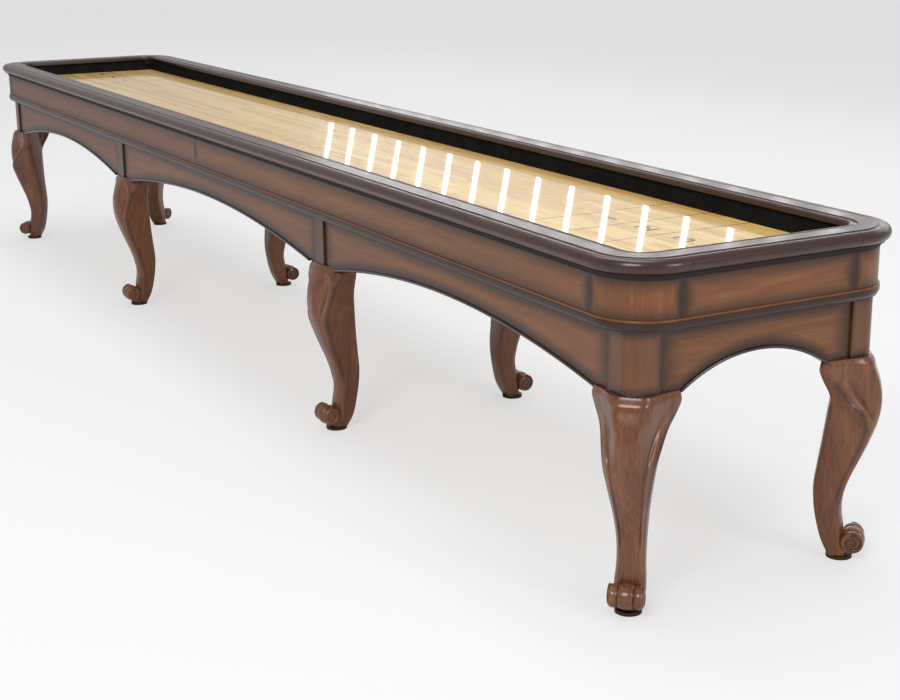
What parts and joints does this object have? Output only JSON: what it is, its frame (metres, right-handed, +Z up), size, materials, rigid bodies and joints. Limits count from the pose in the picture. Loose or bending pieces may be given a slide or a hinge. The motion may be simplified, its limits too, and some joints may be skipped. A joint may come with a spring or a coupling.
{
  "type": "shuffleboard table",
  "caption": "Long shuffleboard table on cabriole legs with arched aprons, coved rail, carpeted gutter, maple playfield, leg levellers and board adjusters.",
  "frame": {"origin": "middle of the floor area, on the floor", "axes": "+X along the table, +Y across it, +Z up"},
  "size_m": [4.988, 0.808, 0.815],
  "materials": {
    "maple_board": "glued maple strips",
    "clear_coat": "clear polymer coat over the maple, shown as one amber gloss skin",
    "black_carpet": "short black carpet",
    "rail_wood": "dark glossy stain",
    "case_wood": "mid brown stain with burnished edges, satin lacquer",
    "leg_wood": "reddish brown stain, gloss lacquer",
    "bead_wood": "near black gloss",
    "plain_timber": "unfinished",
    "zinc_steel": "zinc plated",
    "pad_steel": "bronze painted"
  },
  "bodies": {
    "table": {"adjuster_brackets": "zinc_steel", "adjuster_rods": "zinc_steel", "adjuster_screws": "zinc_steel", "apron_back_1": "case_wood", "apron_back_2": "case_wood", "apron_back_3": "case_wood", "apron_far": "case_wood", "apron_front_1": "case_wood", "apron_front_2": "case_wood", "apron_front_3": "case_wood", "apron_near": "case_wood", "base_mouldings": "case_wood", "box_corners": "case_wood", "box_end_far": "case_wood", "box_end_near": "case_wood", "box_floor": "plain_timber", "box_side_back_far": "case_wood", "box_side_back_near": "case_wood", "box_side_front_far": "case_wood", "box_side_front_near": "case_wood", "cock_beads": "bead_wood", "corner_post_1": "case_wood", "corner_post_2": "case_wood", "corner_post_3": "case_wood", "corner_post_4": "case_wood", "cradle_bearers": "plain_timber", "floor_carpet": "black_carpet", "knee_blocks": "leg_wood", "leg_1": "leg_wood", "leg_2": "leg_wood", "leg_3": "leg_wood", "leg_4": "leg_wood", "leg_5": "leg_wood", "leg_6": "leg_wood", "leg_7": "leg_wood", "leg_8": "leg_wood", "leg_bolts": "zinc_steel", "leveller_sockets": "zinc_steel", "playfield_board": "maple_board", "playfield_finish": "clear_coat", "rail_back": "rail_wood", "rail_corners": "rail_wood", "rail_far": "rail_wood", "rail_front": "rail_wood", "rail_near": "rail_wood", "seam_cleats": "plain_timber", "side_posts": "case_wood", "wall_lining": "black_carpet"},
    "leveller_1": {"leveller_1": "pad_steel"},
    "leveller_2": {"leveller_2": "pad_steel"},
    "leveller_3": {"leveller_3": "pad_steel"},
    "leveller_4": {"leveller_4": "pad_steel"},
    "leveller_5": {"leveller_5": "pad_steel"},
    "leveller_6": {"leveller_6": "pad_steel"},
    "leveller_7": {"leveller_7": "pad_steel"},
    "leveller_8": {"leveller_8": "pad_steel"},
    "adjuster_barrel_1": {"adjuster_barrel_1": "zinc_steel"},
    "adjuster_barrel_2": {"adjuster_barrel_2": "zinc_steel"},
    "adjuster_barrel_3": {"adjuster_barrel_3": "zinc_steel"}
  },
  "joints": [
    {"name": "leveller_1_travel", "type": "slide", "parent": "table", "child": "leveller_1", "axis": [0, 0, -1], "range_m": [0, 0.012]},
    {"name": "leveller_2_travel", "type": "slide", "parent": "table", "child": "leveller_2", "axis": [0, 0, -1], "range_m": [0, 0.012]},
    {"name": "leveller_3_travel", "type": "slide", "parent": "table", "child": "leveller_3", "axis": [0, 0, -1], "range_m": [0, 0.012]},
    {"name": "leveller_4_travel", "type": "slide", "parent": "table", "child": "leveller_4", "axis": [0, 0, -1], "range_m": [0, 0.012]},
    {"name": "leveller_5_travel", "type": "slide", "parent": "table", "child": "leveller_5", "axis": [0, 0, -1], "range_m": [0, 0.012]},
    {"name": "leveller_6_travel", "type": "slide", "parent": "table", "child": "leveller_6", "axis": [0, 0, -1], "range_m": [0, 0.012]},
    {"name": "leveller_7_travel", "type": "slide", "parent": "table", "child": "leveller_7", "axis": [0, 0, -1], "range_m": [0, 0.012]},
    {"name": "leveller_8_travel", "type": "slide", "parent": "table", "child": "leveller_8", "axis": [0, 0, -1], "range_m": [0, 0.012]},
    {"name": "adjuster_1_turn", "type": "hinge", "parent": "table", "child": "adjuster_barrel_1", "pos_m": [-0.8488, 0, 0.693], "axis": [0, 1, 0], "continuous": true},
    {"name": "adjuster_2_turn", "type": "hinge", "parent": "table", "child": "adjuster_barrel_2", "pos_m": [0, 0, 0.693], "axis": [0, 1, 0], "continuous": true},
    {"name": "adjuster_3_turn", "type": "hinge", "parent": "table", "child": "adjuster_barrel_3", "pos_m": [0.8488, 0, 0.693], "axis": [0, 1, 0], "continuous": true}
  ]
}
